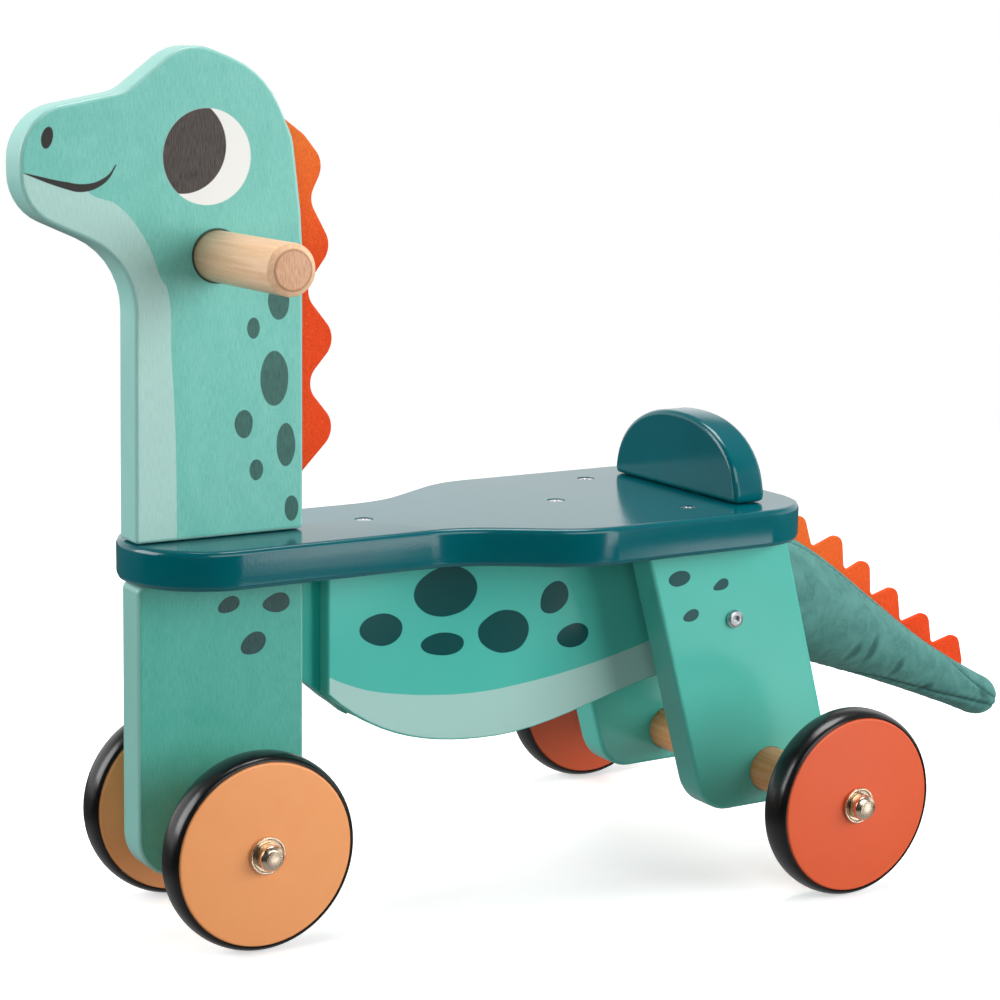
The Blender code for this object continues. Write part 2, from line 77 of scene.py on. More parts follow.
# How far the middle line hangs below the drawn one, over t
TAIL_SAG = ((0.0, 0.5, 0.72, 0.9, 1.0), (1.4, 1.4, 0.2, -1.2, -0.8))


# Shapes


def in_scene(points):
    """Drawing millimetres to the scene's metres."""
    return (np.asarray(points, float) - (0.0, AXLE_TO_MIDDLE, 0.0)) * MM


def fillet(corners, step=4.0, closed=True):
    """Outline from (u, v, radius) corners. Each corner becomes the arc that touches both its
    sides: its centre lies radius / sin(half the corner) from the corner on the bisector."""
    spots = np.array(corners, float)
    points = []
    for i, (corner, radius) in enumerate(zip(spots[:, :2], spots[:, 2])):
        if radius <= 0.0 or (not closed and i in (0, len(spots) - 1)):
            points.append(corner[None])
            continue
        sides = np.stack([spots[i - 1, :2], spots[(i + 1) % len(spots), :2]]) - corner
        sides /= np.linalg.norm(sides, axis=1)[:, None]
        half = math.acos(np.clip(sides[0] @ sides[1], -1.0, 1.0)) / 2.0
        middle = sides.sum(0) / np.linalg.norm(sides.sum(0))
        centre = corner + middle * radius / math.sin(half)
        start = corner + sides[0] * radius / math.tan(half) - centre
        swept = math.pi - 2.0 * half
        turn = -np.sign(sides[0, 0] * sides[1, 1] - sides[0, 1] * sides[1, 0])
        angles = turn * np.linspace(0.0, swept, max(3, int(math.degrees(swept) / step) + 1))
        across = np.array([-start[1], start[0]])
        points.append(centre + np.cos(angles)[:, None] * start + np.sin(angles)[:, None] * across)
    joined = np.concatenate(points)
    kept = np.linalg.norm(joined - np.roll(joined, 1, axis=0), axis=1) > 0.01
    return joined[kept]


def skin(name, grid, look, body, nodes=(), ring=False, caps=False):
    """Closed mesh over rows of points. Each row closes on itself. The rows close on each other
    if ring is set, or end in flat faces if caps is. Points that coincide are merged."""
    rows, columns = grid.shape[:2]
    row = np.arange(rows if ring else rows - 1)[:, None]
    column = np.arange(columns)[None, :]
    after, beside = (row + 1) % rows, (column + 1) % columns
    faces = np.stack([row * columns + column, row * columns + beside,
                      after * columns + beside, after * columns + column], axis=-1)
    faces = faces.reshape(-1, 4).tolist()
    if caps:
        faces += [list(range(columns)), list(range((rows - 1) * columns, rows * columns))]
    mesh = bpy.data.meshes.new(name)
    mesh.from_pydata(in_scene(grid.reshape(-1, 3)).tolist(), [], faces)
    return finished(name, mesh, look, body, nodes)


def finished(name, mesh, look, body, nodes):
    """Object of a mesh with its doubles merged, its faces outwards and its real edges sharp."""
    form = bmesh.new()
    form.from_mesh(mesh)
    bmesh.ops.remove_doubles(form, verts=form.verts, dist=0.002 * MM)
    bmesh.ops.recalc_face_normals(form, faces=form.faces)
    form.to_mesh(mesh)
    form.free()
    mesh.shade_smooth()
    mesh.set_sharp_from_angle(angle=math.radians(35.0))
    mesh.materials.append(look)
    item = bpy.data.objects.new(name, mesh)
    bpy.context.scene.collection.objects.link(item)
    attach(item, body)
    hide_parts(*nodes)
    return item


def turned(profile, y, z, sides=96):
    """Rows of a lathe-turned piece: each (x, r) of the profile is carried round the X axis
    through (y, z) as (x, y + r cos a, z + r sin a)."""
    angle = np.linspace(0.0, 2.0 * math.pi, sides, endpoint=False)
    x, radius = profile[:, :1], profile[:, 1:]
    return np.stack([x + 0.0 * angle, y + radius * np.cos(angle), z + radius * np.sin(angle)],
                    axis=-1)


def cut_sheet(outline, thick, soft):
    """Rows of a flat piece across X cut to an outline of (y, z). The rows step through the
    thickness along a quarter circle of radius soft at both faces, and each row is the outline
    moved inwards along its normals by the same quarter circle."""
    ahead = np.roll(outline, -1, axis=0) - np.roll(outline, 1, axis=0)
    ahead /= np.linalg.norm(ahead, axis=1)[:, None]
    area = np.sum(outline[:, 0] * np.roll(outline[:, 1], -1)
                  - outline[:, 1] * np.roll(outline[:, 0], -1))
    inwards = np.stack([-ahead[:, 1], ahead[:, 0]], axis=-1) * np.sign(area)
    angle = np.linspace(0.0, math.pi / 2.0, 5)
    inset = soft * (1.0 - np.sin(angle))
    x = thick / 2.0 - soft * (1.0 - np.cos(angle))
    inset = np.concatenate([inset, inset[::-1]])
    x = np.concatenate([-x, x[::-1]])
    flat = outline[None] + inset[:, None, None] * inwards[None]
    return np.concatenate([np.broadcast_to(x[:, None, None], flat.shape[:2] + (1,)), flat], -1)


def on_tail(t):
    """Middle line of the tail as (y, z), its direction and its upward normal, for an array t.
    The line is the cubic curve sum(B_i(t) P_i) of the drawing."""
    t = np.asarray(t, float)[..., None]
    p = np.array(TAIL_PATH)
    place = ((1 - t) ** 3 * p[0] + 3 * t * (1 - t) ** 2 * p[1] + 3 * t * t * (1 - t) * p[2]
             + t ** 3 * p[3])
    slope = ((1 - t) ** 2 * (p[1] - p[0]) + 2 * t * (1 - t) * (p[2] - p[1])
             + t * t * (p[3] - p[2]))
    slope /= np.linalg.norm(slope, axis=-1)[..., None]
    return place, slope, np.stack([-slope[..., 1], slope[..., 0]], axis=-1)


def tail_radius(t):
    """The tail tapers evenly towards its tip, with one swell in its first half and as deep a
    hollow in its second: thick - taper t + swell sin(2 pi t)."""
    return TAIL_THICK - TAIL_TAPER * t + TAIL_SWELL * np.sin(2.0 * math.pi * t)


def tail_rows(slim, rows=150, sides=120):
    """Rings round the tail's middle line, slimmer and shorter than the tail by the given
    amount. Past its end they shrink as a quarter circle."""
    t = np.linspace(0.0, 1.0 - max(slim + TAIL_FULLER, 0.0) / TAIL_LENGTH, rows)
    round_end = np.linspace(0.0, math.pi / 2.0, 14)[1:]
    t_all = np.concatenate([t, np.full(13, t[-1])])
    shrink = np.concatenate([np.ones(rows), np.cos(round_end)])
    ahead = np.concatenate([np.zeros(rows), (tail_radius(1.0) - slim) * np.sin(round_end)])
    place, slope, up = on_tail(t_all)
    radius = (tail_radius(t_all) - slim) * shrink
    angle = np.linspace(0.0, 2.0 * math.pi, sides, endpoint=False)
    middle = place + slope * ahead[:, None] - up * np.interp(t_all, *TAIL_SAG)[:, None]
    high = radius[:, None] * np.sin(angle)
    flat = middle[:, None] + high[..., None] * up[:, None]
    return np.concatenate([(radius[:, None] * np.cos(angle))[..., None], flat], axis=-1)


# Materials


def linear(code):
    """Linear colour of an sRGB hex value."""
    part = np.array([int(code[i:i + 2], 16) / 255.0 for i in (0, 2, 4)])
    return (*np.where(part <= 0.04045, part / 12.92, ((part + 0.055) / 1.055) ** 2.4), 1.0)


def add(tree, kind, inputs=None, out=0, curve=None, **settings):
    """Adds a node with its settings. An input is a value or the socket that feeds it. Gives
    back the socket of its result."""
    made = tree.nodes.new("ShaderNode" + kind)
    for key, value in settings.items():
        setattr(made, key, value)
    for key, value in (inputs or {}).items():
        if isinstance(value, bpy.types.NodeSocket):
            tree.links.new(value, made.inputs[key])
        else:
            made.inputs[key].default_value = linear(value) if isinstance(value, str) else value
    if curve:
        line = made.mapping.curves[0]
        line.points[0].location, line.points[1].location = curve[0], curve[-1]
        for point in curve[1:-1]:
            line.points.new(*point)
        made.mapping.update()
    return made.outputs[out]


# Settings of a Mix node that mixes colours
COLOURS = {"out": 2, "data_type": "RGBA"}


def finish(name, **constants):
    """Material with a Principled shader whose constants are set on its own sockets."""
    made = bpy.data.materials.new(name)
    made.use_nodes = True
    shader = made.node_tree.nodes["Principled BSDF"]
    for key, value in constants.items():
        shader.inputs[key.replace("_", " ")].default_value = value
    return made, made.node_tree, shader


def drawn(tree, forward=0.0, up=0.0):
    """Place on the drawing in millimetres, from Object coordinates. What is drawn with it can be
    moved forward and up by a fraction of a millimetre."""
    raw = add(tree, "TexCoord", out=3)
    moved = (0.0, AXLE_TO_MIDDLE + forward, -up)
    return add(tree, "Mapping", {"Vector": raw, "Location": moved, "Scale": (1.0 / MM,) * 3})


def pebbles(tree, place, spots):
    """Least distance to painted spots, 1 on their edges. A spot is (y, z, half width, half
    height, tilt, taper): an ellipse turned by its tilt and slimmer on one side by its taper."""
    wobble = add(tree, "TexNoise", {"Vector": place, "Scale": 0.11, "Detail": 0.0}, out=1)
    wobble = add(tree, "VectorMath", {0: wobble, 1: (0.5,) * 3}, operation="SUBTRACT")
    place = add(tree, "VectorMath", {0: wobble, 1: (0.7,) * 3, 2: place},
                operation="MULTIPLY_ADD")
    least = None
    for y, z, wide, high, tilt, taper in spots:
        near = add(tree, "Mapping", {"Vector": place, "Location": (0.0, y, z),
                                     "Rotation": (math.radians(tilt), 0.0, 0.0),
                                     "Scale": (1.0, wide, high)}, vector_type="TEXTURE")
        near = add(tree, "SeparateXYZ", {0: near}).node
        slim = add(tree, "Math", {0: near.outputs[1], 1: taper, 2: 1.0}, operation="MULTIPLY_ADD")
        slim = add(tree, "Math", {0: near.outputs[2], 1: slim}, operation="DIVIDE")
        near = add(tree, "CombineXYZ", {1: near.outputs[1], 2: slim})
        near = add(tree, "VectorMath", {0: near}, out=1, operation="LENGTH")
        least = add(tree, "Math", {0: least, 1: near}, operation="MINIMUM") if least else near
    return least


def covered(tree, value, edge, soft):
    """1 where the value lies below the edge and 0 above it."""
    return add(tree, "MapRange", {"Value": value, "From Min": edge + soft,
                                  "From Max": edge - soft}, interpolation_type="SMOOTHSTEP")


def flat_face(tree):
    """1 on the broad faces of a board cut across X, and 0 on its edges."""
    normal = add(tree, "SeparateXYZ", {0: add(tree, "TexCoord", out=1)})
    flat = add(tree, "Math", {0: normal}, operation="ABSOLUTE")
    return add(tree, "MapRange", {"Value": flat, "From Min": 0.9, "From Max": 0.97})


def from_line(tree, place, centre):
    """Distance from the line along X through a (y, z), in millimetres."""
    near = add(tree, "VectorMath", {0: place, 1: (0.0, 1.0, 1.0)}, operation="MULTIPLY")
    return add(tree, "VectorMath", {0: near, 1: (0.0, *centre)}, out=1, operation="DISTANCE")


def grain(tree, place, across, along):
    """Wood grain from 0 to 1: noise drawn out along one axis, by pores of the given sizes."""
    stretched = add(tree, "VectorMath", {0: place, 1: [1.0 / (along if axis == 2 else across)
                                                      for axis in range(3)]},
                    operation="MULTIPLY")
    return add(tree, "TexNoise", {"Vector": stretched, "Scale": 1.0, "Detail": 3.0,
                                  "Roughness": 0.6})


def stained_birch(name, tones, spots, face, up):
    """Birch plywood with turquoise stain under satin lacquer: fine upright pores show through
    the colour, and the printed spots let them through too. The head has its face printed on.
    The tones are the pale and deep stain, its pores, the ink and the ink's pores."""
    pale, deep, pore, ink, ink_pore = tones
    made, tree, shader = finish(name, Roughness=0.34, IOR=1.5)
    place = drawn(tree, PRINT_FORWARD, up)
    flat = flat_face(tree)
    pores = grain(tree, place, 0.5, 5.5)
    pores = add(tree, "MapRange", {"Value": pores, "From Min": 0.42, "From Max": 0.68})
    # Cathedral figure: slow waves of the veneer's growth rings, bent by a broad noise
    bent = add(tree, "TexNoise", {"Vector": place, "Scale": 0.012, "Detail": 2.0}, out=1)
    bent = add(tree, "VectorMath", {0: bent, 1: (70.0,) * 3, 2: place}, operation="MULTIPLY_ADD")
    cloud = grain(tree, bent, 9.0, 40.0)
    cloud = add(tree, "MapRange", {"Value": cloud, "From Min": 0.35, "From Max": 0.65})
    fleck = add(tree, "TexNoise", {"Vector": place, "Scale": 0.9, "Detail": 3.0,
                                   "Roughness": 0.7})
    cloud = add(tree, "Mix", {0: 0.45, 2: cloud, 3: add(tree, "MapRange", {
        "Value": fleck, "From Min": 0.35, "From Max": 0.65})}, data_type="FLOAT")
    colour = add(tree, "Mix", {0: cloud, 6: deep, 7: pale}, **COLOURS)
    # The rounded edges are painted paler than the faces: a painted sheen on them
    painted_edge_sheen = add(tree, "MapRange", {"Value": flat, "From Min": 1.0, "From Max": 0.0,
                                   "To Max": 0.35})
    colour = add(tree, "Mix", {0: painted_edge_sheen, 6: colour, 7: "B9CFCC"}, **COLOURS)
    shown = add(tree, "Math", {0: pores, 1: flat}, operation="MULTIPLY")
    shown = add(tree, "Math", {0: shown, 1: 0.5}, operation="MULTIPLY")
    colour = add(tree, "Mix", {0: shown, 6: colour, 7: pore}, **COLOURS)
    printed = covered(tree, pebbles(tree, place, spots), 1.0, 0.03)
    printed = add(tree, "Math", {0: printed, 1: flat}, operation="MULTIPLY")
    inked = add(tree, "Mix", {0: pores, 6: ink, 7: ink_pore}, **COLOURS)
    if face:
        colour = painted_face(tree, place, flat, pores, colour)
    colour = add(tree, "Mix", {0: printed, 6: colour, 7: inked}, **COLOURS)
    # The head also gets painted shade: a dark ring round the handle's bore
    if face:
        colour = painted_bore_shade(tree, place, flat, colour)
    tree.links.new(colour, shader.inputs["Base Color"])
    tree.links.new(add(tree, "Bump", {"Height": pores, "Strength": 0.12, "Distance": 0.05 * MM}),
                   shader.inputs["Normal"])
    return made


def painted_bore_shade(tree, place, flat, colour):
    """Painted shade of the gap round the handle: a dark ring under a millimetre wide round the bore.
    """
    bore_shade_ring = covered(tree, from_line(tree, place, HANDLE), BORE_SHADE_OUT, 0.2)
    bore_shade_ring = add(tree, "Math", {0: bore_shade_ring, 1: flat}, operation="MULTIPLY")
    return add(tree, "Mix", {0: bore_shade_ring, 6: colour, 7: "1F4A40"}, **COLOURS)


def painted_face(tree, place, flat, pores, colour):
    """Prints the throat band, smile, nostril and eye of the head."""
    axes = add(tree, "SeparateXYZ", {0: place}).node
    y, z = axes.outputs[1], axes.outputs[2]
    along = add(tree, "MapRange", {"Value": y, "From Min": -101.0, "From Max": -51.0})
    # The mouth's middle line as a height from 365 to 385 mm, over y from -101 to -51 mm
    middle = add(tree, "FloatCurve", {1: along}, curve=SMILE_LINE)
    middle = add(tree, "Math", {0: middle, 1: 20.0, 2: 365.0}, operation="MULTIPLY_ADD")
    thick = add(tree, "FloatCurve", {1: along}, curve=SMILE_THICK)
    # Its half thickness out of 22.5 mm, less a quarter, so that nothing is drawn at 0
    thick = add(tree, "Math", {0: thick, 1: 22.5, 2: -0.25}, operation="MULTIPLY_ADD")
    over = add(tree, "Math", {0: z, 1: middle}, operation="SUBTRACT")
    away = add(tree, "Math", {0: add(tree, "Math", {0: over}, operation="ABSOLUTE"), 1: thick},
               operation="SUBTRACT")
    smile = covered(tree, away, 0.0, 0.2)
    # The band's rear edge as y, from -110 to -10 mm, over the height from 190 to 390 mm
    height = add(tree, "MapRange", {"Value": z, "From Min": 190.0, "From Max": 390.0})
    edge = add(tree, "FloatCurve", {1: height}, curve=THROAT_EDGE)
    edge = add(tree, "Math", {0: edge, 1: 100.0, 2: -110.0}, operation="MULTIPLY_ADD")
    behind = add(tree, "Math", {0: y, 1: edge}, operation="SUBTRACT")
    behind = add(tree, "Math", {0: behind, 1: over}, operation="MAXIMUM")
    throat = add(tree, "Math", {0: covered(tree, behind, 0.0, 0.25), 1: flat},
                 operation="MULTIPLY")
    pale = add(tree, "Mix", {0: pores, 6: "A9D2CA", 7: "9CC8C0"}, **COLOURS)
    colour = add(tree, "Mix", {0: throat, 6: colour, 7: pale}, **COLOURS)
    inside = [covered(tree, from_line(tree, place, centre), radius, 0.25)
              for centre, radius in (EYE, PUPIL)]
    colour = add(tree, "Mix", {0: inside[0], 6: colour, 7: "E7E8E4"}, **COLOURS)
    pupil = add(tree, "Math", {0: inside[0], 1: inside[1]}, operation="MULTIPLY")
    brown = add(tree, "Mix", {0: pores, 6: "453B36", 7: "0E0B0A"}, **COLOURS)
    colour = add(tree, "Mix", {0: pupil, 6: colour, 7: brown}, **COLOURS)
    nostril = covered(tree, pebbles(tree, place, NOSTRIL), 1.0, 0.06)
    dark = add(tree, "Math", {0: smile, 1: nostril}, operation="MAXIMUM")
    dark = add(tree, "Math", {0: dark, 1: flat}, operation="MULTIPLY")
    return add(tree, "Mix", {0: dark, 6: colour, 7: "23211F"}, **COLOURS)


def sprayed_board(name, tones, spots, band, roughness):
    """Turquoise satin paint, sprayed on sealed board: smooth, with a faint orange peel. The
    belly has a pale band along its underside."""
    made, tree, shader = finish(name, Roughness=roughness, IOR=1.5)
    place = drawn(tree)
    cloud = add(tree, "TexNoise", {"Vector": place, "Scale": 0.02, "Detail": 2.0})
    colour = add(tree, "Mix", {0: cloud, 6: tones[0], 7: tones[1]}, **COLOURS)
    flat = flat_face(tree)
    if band:
        # The band's upper edge as a height from 90 to 130 mm, over y from 50 to 270 mm
        axes = add(tree, "SeparateXYZ", {0: place}).node
        along = add(tree, "MapRange", {"Value": axes.outputs[1], "From Min": 50.0,
                                       "From Max": 270.0})
        edge = add(tree, "FloatCurve", {1: along}, curve=BELLY_EDGE)
        edge = add(tree, "Math", {0: edge, 1: 40.0, 2: 90.0}, operation="MULTIPLY_ADD")
        over = add(tree, "Math", {0: axes.outputs[2], 1: edge}, operation="SUBTRACT")
        under = add(tree, "Math", {0: covered(tree, over, 0.0, 0.25), 1: flat},
                    operation="MULTIPLY")
        colour = add(tree, "Mix", {0: under, 6: colour, 7: "A6CFC8"}, **COLOURS)
    if spots:
        printed = covered(tree, pebbles(tree, place, spots), 1.0, 0.02)
        printed = add(tree, "Math", {0: printed, 1: flat}, operation="MULTIPLY")
        colour = add(tree, "Mix", {0: printed, 6: colour, 7: "074748"}, **COLOURS)
    tree.links.new(colour, shader.inputs["Base Color"])
    peel = add(tree, "TexNoise", {"Vector": place, "Scale": 0.8, "Detail": 1.0})
    tree.links.new(add(tree, "Bump", {"Height": peel, "Strength": 0.06, "Distance": 0.2 * MM}),
                   shader.inputs["Normal"])
    return made


def lacquer(name, colour, deep, roughness, peel):
    """Gloss or satin lacquer over sealed wood: an even colour, a little deeper in places, with
    the soft ripple that spraying leaves, about 1.5 mm from crest to crest."""
    made, tree, shader = finish(name, Roughness=roughness, IOR=1.5)
    place = drawn(tree)
    cloud = add(tree, "TexNoise", {"Vector": place, "Scale": 0.05, "Detail": 3.0})
    mixed = add(tree, "Mix", {0: cloud, 6: colour, 7: deep}, **COLOURS)
    tree.links.new(mixed, shader.inputs["Base Color"])
    ripple = add(tree, "TexNoise", {"Vector": place, "Scale": 0.65, "Detail": 1.0})
    tree.links.new(add(tree, "Bump", {"Height": ripple, "Strength": peel,
                                      "Distance": 0.2 * MM}), shader.inputs["Normal"])
    return made


def varnished_beech(name, tones, half_length=None):
    """Beech turned along X under thin varnish: pinkish, with slow bands and short dark flecks
    along the bar. A bar of a given half length shows darker, speckled end grain at its ends."""
    made, tree, shader = finish(name, Roughness=0.38, IOR=1.5)
    place = drawn(tree)
    long = add(tree, "VectorMath", {0: place, 1: (0.02, 0.5, 0.5)}, operation="MULTIPLY")
    bands = add(tree, "TexNoise", {"Vector": long, "Scale": 1.0, "Detail": 4.0,
                                   "Distortion": 0.6})
    bands = add(tree, "MapRange", {"Value": bands, "From Min": 0.35, "From Max": 0.65})
    colour = add(tree, "Mix", {0: bands, 6: tones[0], 7: tones[1]}, **COLOURS)
    short = add(tree, "VectorMath", {0: place, 1: (0.35, 3.0, 3.0)}, operation="MULTIPLY")
    flecks = add(tree, "TexNoise", {"Vector": short, "Scale": 1.0, "Detail": 2.0})
    flecks = add(tree, "MapRange", {"Value": flecks, "From Min": 0.55, "From Max": 0.72,
                                    "To Max": 0.28})
    colour = add(tree, "Mix", {0: flecks, 6: colour, 7: "BC8C66"}, **COLOURS)
    if half_length:
        rays = add(tree, "Mapping", {"Vector": place, "Rotation": (math.radians(-30.0), 0.0, 0.0),
                                     "Scale": (1.0, 2.2, 0.35)})
        speckle = add(tree, "TexNoise", {"Vector": rays, "Scale": 0.7, "Detail": 3.0,
                                         "Roughness": 0.7})
        speckle = add(tree, "MapRange", {"Value": speckle, "From Min": 0.38, "From Max": 0.66})
        cut_end = add(tree, "Mix", {0: speckle, 6: "D9AB87", 7: "BE8B68"}, **COLOURS)
        out = add(tree, "Math", {0: add(tree, "SeparateXYZ", {0: place})}, operation="ABSOLUTE")
        past = add(tree, "MapRange", {"Value": out, "From Min": half_length - 0.7,
                                      "From Max": half_length - 0.3})
        colour = add(tree, "Mix", {0: past, 6: colour, 7: cut_end}, **COLOURS)
        # A thin ring at the rim of the cut end is darker
        rim = add(tree, "Math", {0: from_line(tree, place, HANDLE), 1: 9.2, 2: 0.5},
                  operation="COMPARE")
        rim = add(tree, "Math", {0: rim, 1: past}, operation="MULTIPLY")
        rim = add(tree, "Math", {0: rim, 1: 0.5}, operation="MULTIPLY")
        colour = add(tree, "Mix", {0: rim, 6: colour, 7: "9A6A48"}, **COLOURS)
    tree.links.new(colour, shader.inputs["Base Color"])
    tree.links.new(add(tree, "Bump", {"Height": flecks, "Strength": 0.1, "Distance": 0.05 * MM}),
                   shader.inputs["Normal"])
    return made


def black_rubber(name):
    """Glossy black rubber band, faintly dusty."""
    made, tree, shader = finish(name, Roughness=0.22, IOR=1.5)
    place = drawn(tree)
    dust = add(tree, "TexNoise", {"Vector": place, "Scale": 0.3, "Detail": 5.0})
    colour = add(tree, "Mix", {0: dust, 6: "0C0C0D", 7: "161617"}, **COLOURS)
    tree.links.new(colour, shader.inputs["Base Color"])
    rough = add(tree, "MapRange", {"Value": dust, "To Min": 0.16, "To Max": 0.3})
    tree.links.new(rough, shader.inputs["Roughness"])
    return made


def plated_metal(name, colour, low, high):
    """Plated steel, tumbled before plating, so its shine varies in patches of a millimetre."""
    made, tree, shader = finish(name, Metallic=1.0)
    place = drawn(tree)
    shader.inputs["Base Color"].default_value = linear(colour)
    patches = add(tree, "TexNoise", {"Vector": place, "Scale": 1.2, "Detail": 4.0})
    rough = add(tree, "MapRange", {"Value": patches, "To Min": low, "To Max": high})
    tree.links.new(rough, shader.inputs["Roughness"])
    tree.links.new(add(tree, "Bump", {"Height": patches, "Strength": 0.02,
                                      "Distance": 0.1 * MM}), shader.inputs["Normal"])
    return made


def wool_felt(name, warm, red, turn):
    """Pressed wool felt 3 mm thick: matted fibres a few tenths of a millimetre across, with
    looser, paler fibres here and there. The colour runs from a warm to a redder orange along the
    direction that turn gives: a place y z and the share of the change for each millimetre."""
    made, tree, shader = finish(name, Roughness=0.95, IOR=1.4, Sheen_Weight=0.2,
                                Sheen_Roughness=0.5)
    shader.inputs["Sheen Tint"].default_value = linear("FF9A70")
    place = drawn(tree)
    start, per_mm = turn
    fade = add(tree, "VectorMath", {0: place, 1: (0.0, *start)}, operation="SUBTRACT")
    fade = add(tree, "VectorMath", {0: fade, 1: (0.0, *per_mm)}, out=1, operation="DOT_PRODUCT")
    fade = add(tree, "MapRange", {"Value": fade})
    colour = add(tree, "Mix", {0: fade, 6: warm, 7: red}, **COLOURS)
    fibres = add(tree, "TexNoise", {"Vector": place, "Scale": 0.8, "Detail": 6.0,
                                    "Roughness": 0.75, "Distortion": 1.5})
    dark = add(tree, "MapRange", {"Value": fibres, "From Min": 0.5, "From Max": 0.3,
                                  "To Max": 0.55})
    colour = add(tree, "Mix", {0: dark, 6: colour, 7: "A82A0C"}, **COLOURS)
    loose = add(tree, "MapRange", {"Value": fibres, "From Min": 0.54, "From Max": 0.72,
                                   "To Max": 0.5})
    colour = add(tree, "Mix", {0: loose, 6: colour, 7: "FF8A50"}, **COLOURS)
    tree.links.new(colour, shader.inputs["Base Color"])
    tree.links.new(add(tree, "Bump", {"Height": fibres, "Strength": 0.6,
                                      "Distance": 0.5 * MM}), shader.inputs["Normal"])
    return made


def short_velvet(name):
    """Short-pile polyester velvet over stuffing: the pile is even and soft. It is painted darker at
    the puckers, painted shade in their dents where the pile is also crushed, and along the seams,
    painted shade in their creases, as a point attribute of the mesh gives."""
    made, tree, shader = finish(name, Roughness=0.85, IOR=1.4, Sheen_Weight=0.35,
                                Sheen_Roughness=0.35)
    shader.inputs["Sheen Tint"].default_value = linear("A8D4CC")
    place = drawn(tree)
    brushed = add(tree, "TexNoise", {"Vector": place, "Scale": 0.09, "Detail": 4.0,
                                     "Roughness": 0.6, "Distortion": 0.5})
    brushed = add(tree, "MapRange", {"Value": brushed, "From Min": 0.36, "From Max": 0.64})
    colour = add(tree, "Mix", {0: brushed, 6: "3E716C", 7: "508881"}, **COLOURS)
    pile = add(tree, "TexNoise", {"Vector": place, "Scale": 0.9, "Detail": 4.0,
                                  "Roughness": 0.7})
    fine = add(tree, "MapRange", {"Value": pile, "From Min": 0.4, "From Max": 0.7,
                                  "To Max": 0.35})
    colour = add(tree, "Mix", {0: fine, 6: colour, 7: "5F968F"}, **COLOURS)
    # Painted shade in the puckers' dents, where the pile is also crushed, and along the seams
    pucker_shade = covered(tree, pebbles(tree, place, PUCKERS), 0.95, 0.5)
    pucker_shade = add(tree, "Math", {0: pucker_shade, 1: 0.62}, operation="MULTIPLY")
    seam = add(tree, "Attribute", attribute_name="painted_seam_shade", out=2)
    shade = add(tree, "Math", {0: pucker_shade, 1: seam}, operation="MAXIMUM")
    colour = add(tree, "Mix", {0: shade, 6: colour, 7: "15403C"}, **COLOURS)
    tree.links.new(colour, shader.inputs["Base Color"])
    tree.links.new(add(tree, "Bump", {"Height": pile, "Strength": 0.2, "Distance": 0.2 * MM}),
                   shader.inputs["Normal"])
    return made


# Prints on the boards, measured on the drawing

# How far forward the stained boards are printed, and how far out the painted shade reaches round the
# handle
PRINT_FORWARD = 0.48
BORE_SHADE_OUT = 13.4
NECK_SPOTS = ((31.5, 314.3, 5.9, 9.0, 0.0, 0.0), (17.6, 301.6, 3.4, 5.2, 0.0, 0.0),
              (29.0, 276.3, 7.7, 13.6, 0.0, 0.0), (12.2, 254.6, 5.0, 7.1, 0.0, 0.0),
              (35.2, 242.8, 5.2, 10.9, 0.0, 0.0), (18.9, 231.4, 3.7, 5.2, 0.0, 0.0),
              (38.3, 210.5, 3.8, 6.4, 0.0, 0.0))
LEG_SPOTS = ((3.6, 164.6, 6.2, 3.9, 18.0, 0.15), (29.8, 162.9, 7.7, 5.0, 4.0, 0.2),
             (16.9, 143.5, 7.3, 5.3, 24.0, 0.1))
BELLY_SPOTS = ((124.8, 159.9, 18.9, 13.3, 0.0, 0.05), (86.6, 143.9, 12.6, 8.5, -6.0, 0.08),
               (123.0, 132.1, 13.0, 6.1, -5.0, 0.1), (160.3, 134.7, 15.8, 11.5, -6.0, 0.1),
               (191.8, 149.5, 9.6, 8.0, 42.0, 0.1), (204.2, 127.5, 10.1, 6.6, 4.0, 0.1))
REAR_SPOTS = ((242.4, 163.1, 7.0, 4.3, 4.0, 0.0), (269.7, 156.8, 5.2, 2.9, 18.0, 0.3),
              (250.5, 142.0, 5.3, 3.3, 12.0, 0.2))
NOSTRIL = ((-87.0, 394.7, 2.9, 5.1, -14.0, 0.0),)
# Eye and pupil: centre and radius. The pupil shows where it lies inside the eye
EYE = ((-6.4, 385.0), 23.0)
PUPIL = ((-19.2, 390.4), 22.8)
# Curves of the face and the belly's band, both axes from 0 to 1
SMILE_LINE = ((0.0, 0.72), (0.15, 0.60), (0.34, 0.455), (0.46, 0.38), (0.58, 0.32), (0.70, 0.34),
              (0.80, 0.43), (0.88, 0.57), (0.94, 0.78), (1.0, 1.0))
SMILE_THICK = ((0.0, 0.0), (0.04, 0.015), (0.15, 0.04), (0.34, 0.07), (0.55, 0.095), (0.75, 0.08),
               (0.88, 0.06), (0.955, 0.03), (0.965, 0.0), (1.0, 0.0))
THROAT_EDGE = ((0.0, 0.858), (0.32, 0.857), (0.51, 0.84), (0.66, 0.824), (0.69, 0.789),
               (0.757, 0.738), (0.82, 0.661), (0.87, 0.559), (0.90, 0.425), (1.0, 0.40))
BELLY_EDGE = ((0.0, 0.91), (0.03, 0.81), (0.083, 0.67), (0.155, 0.533), (0.219, 0.46),
              (0.294, 0.395), (0.435, 0.34), (0.56, 0.375), (0.70, 0.465), (0.84, 0.61),
              (0.93, 0.73), (1.0, 0.85))

# Puckers of the velvet, sunk in and darkened with painted shade, written as the spots are, with the
# half length first
PUCKERS = ((394.0, 97.5, 6.5, 3.3, 62.0, 0.0), (407.0, 97.0, 8.5, 2.8, 72.0, 0.0),
           (430.9, 82.5, 6.0, 3.0, 66.0, 0.0), (457.8, 66.5, 5.0, 2.4, 14.0, 0.0),
           (503.5, 57.5, 4.5, 2.8, -42.0, 0.0))
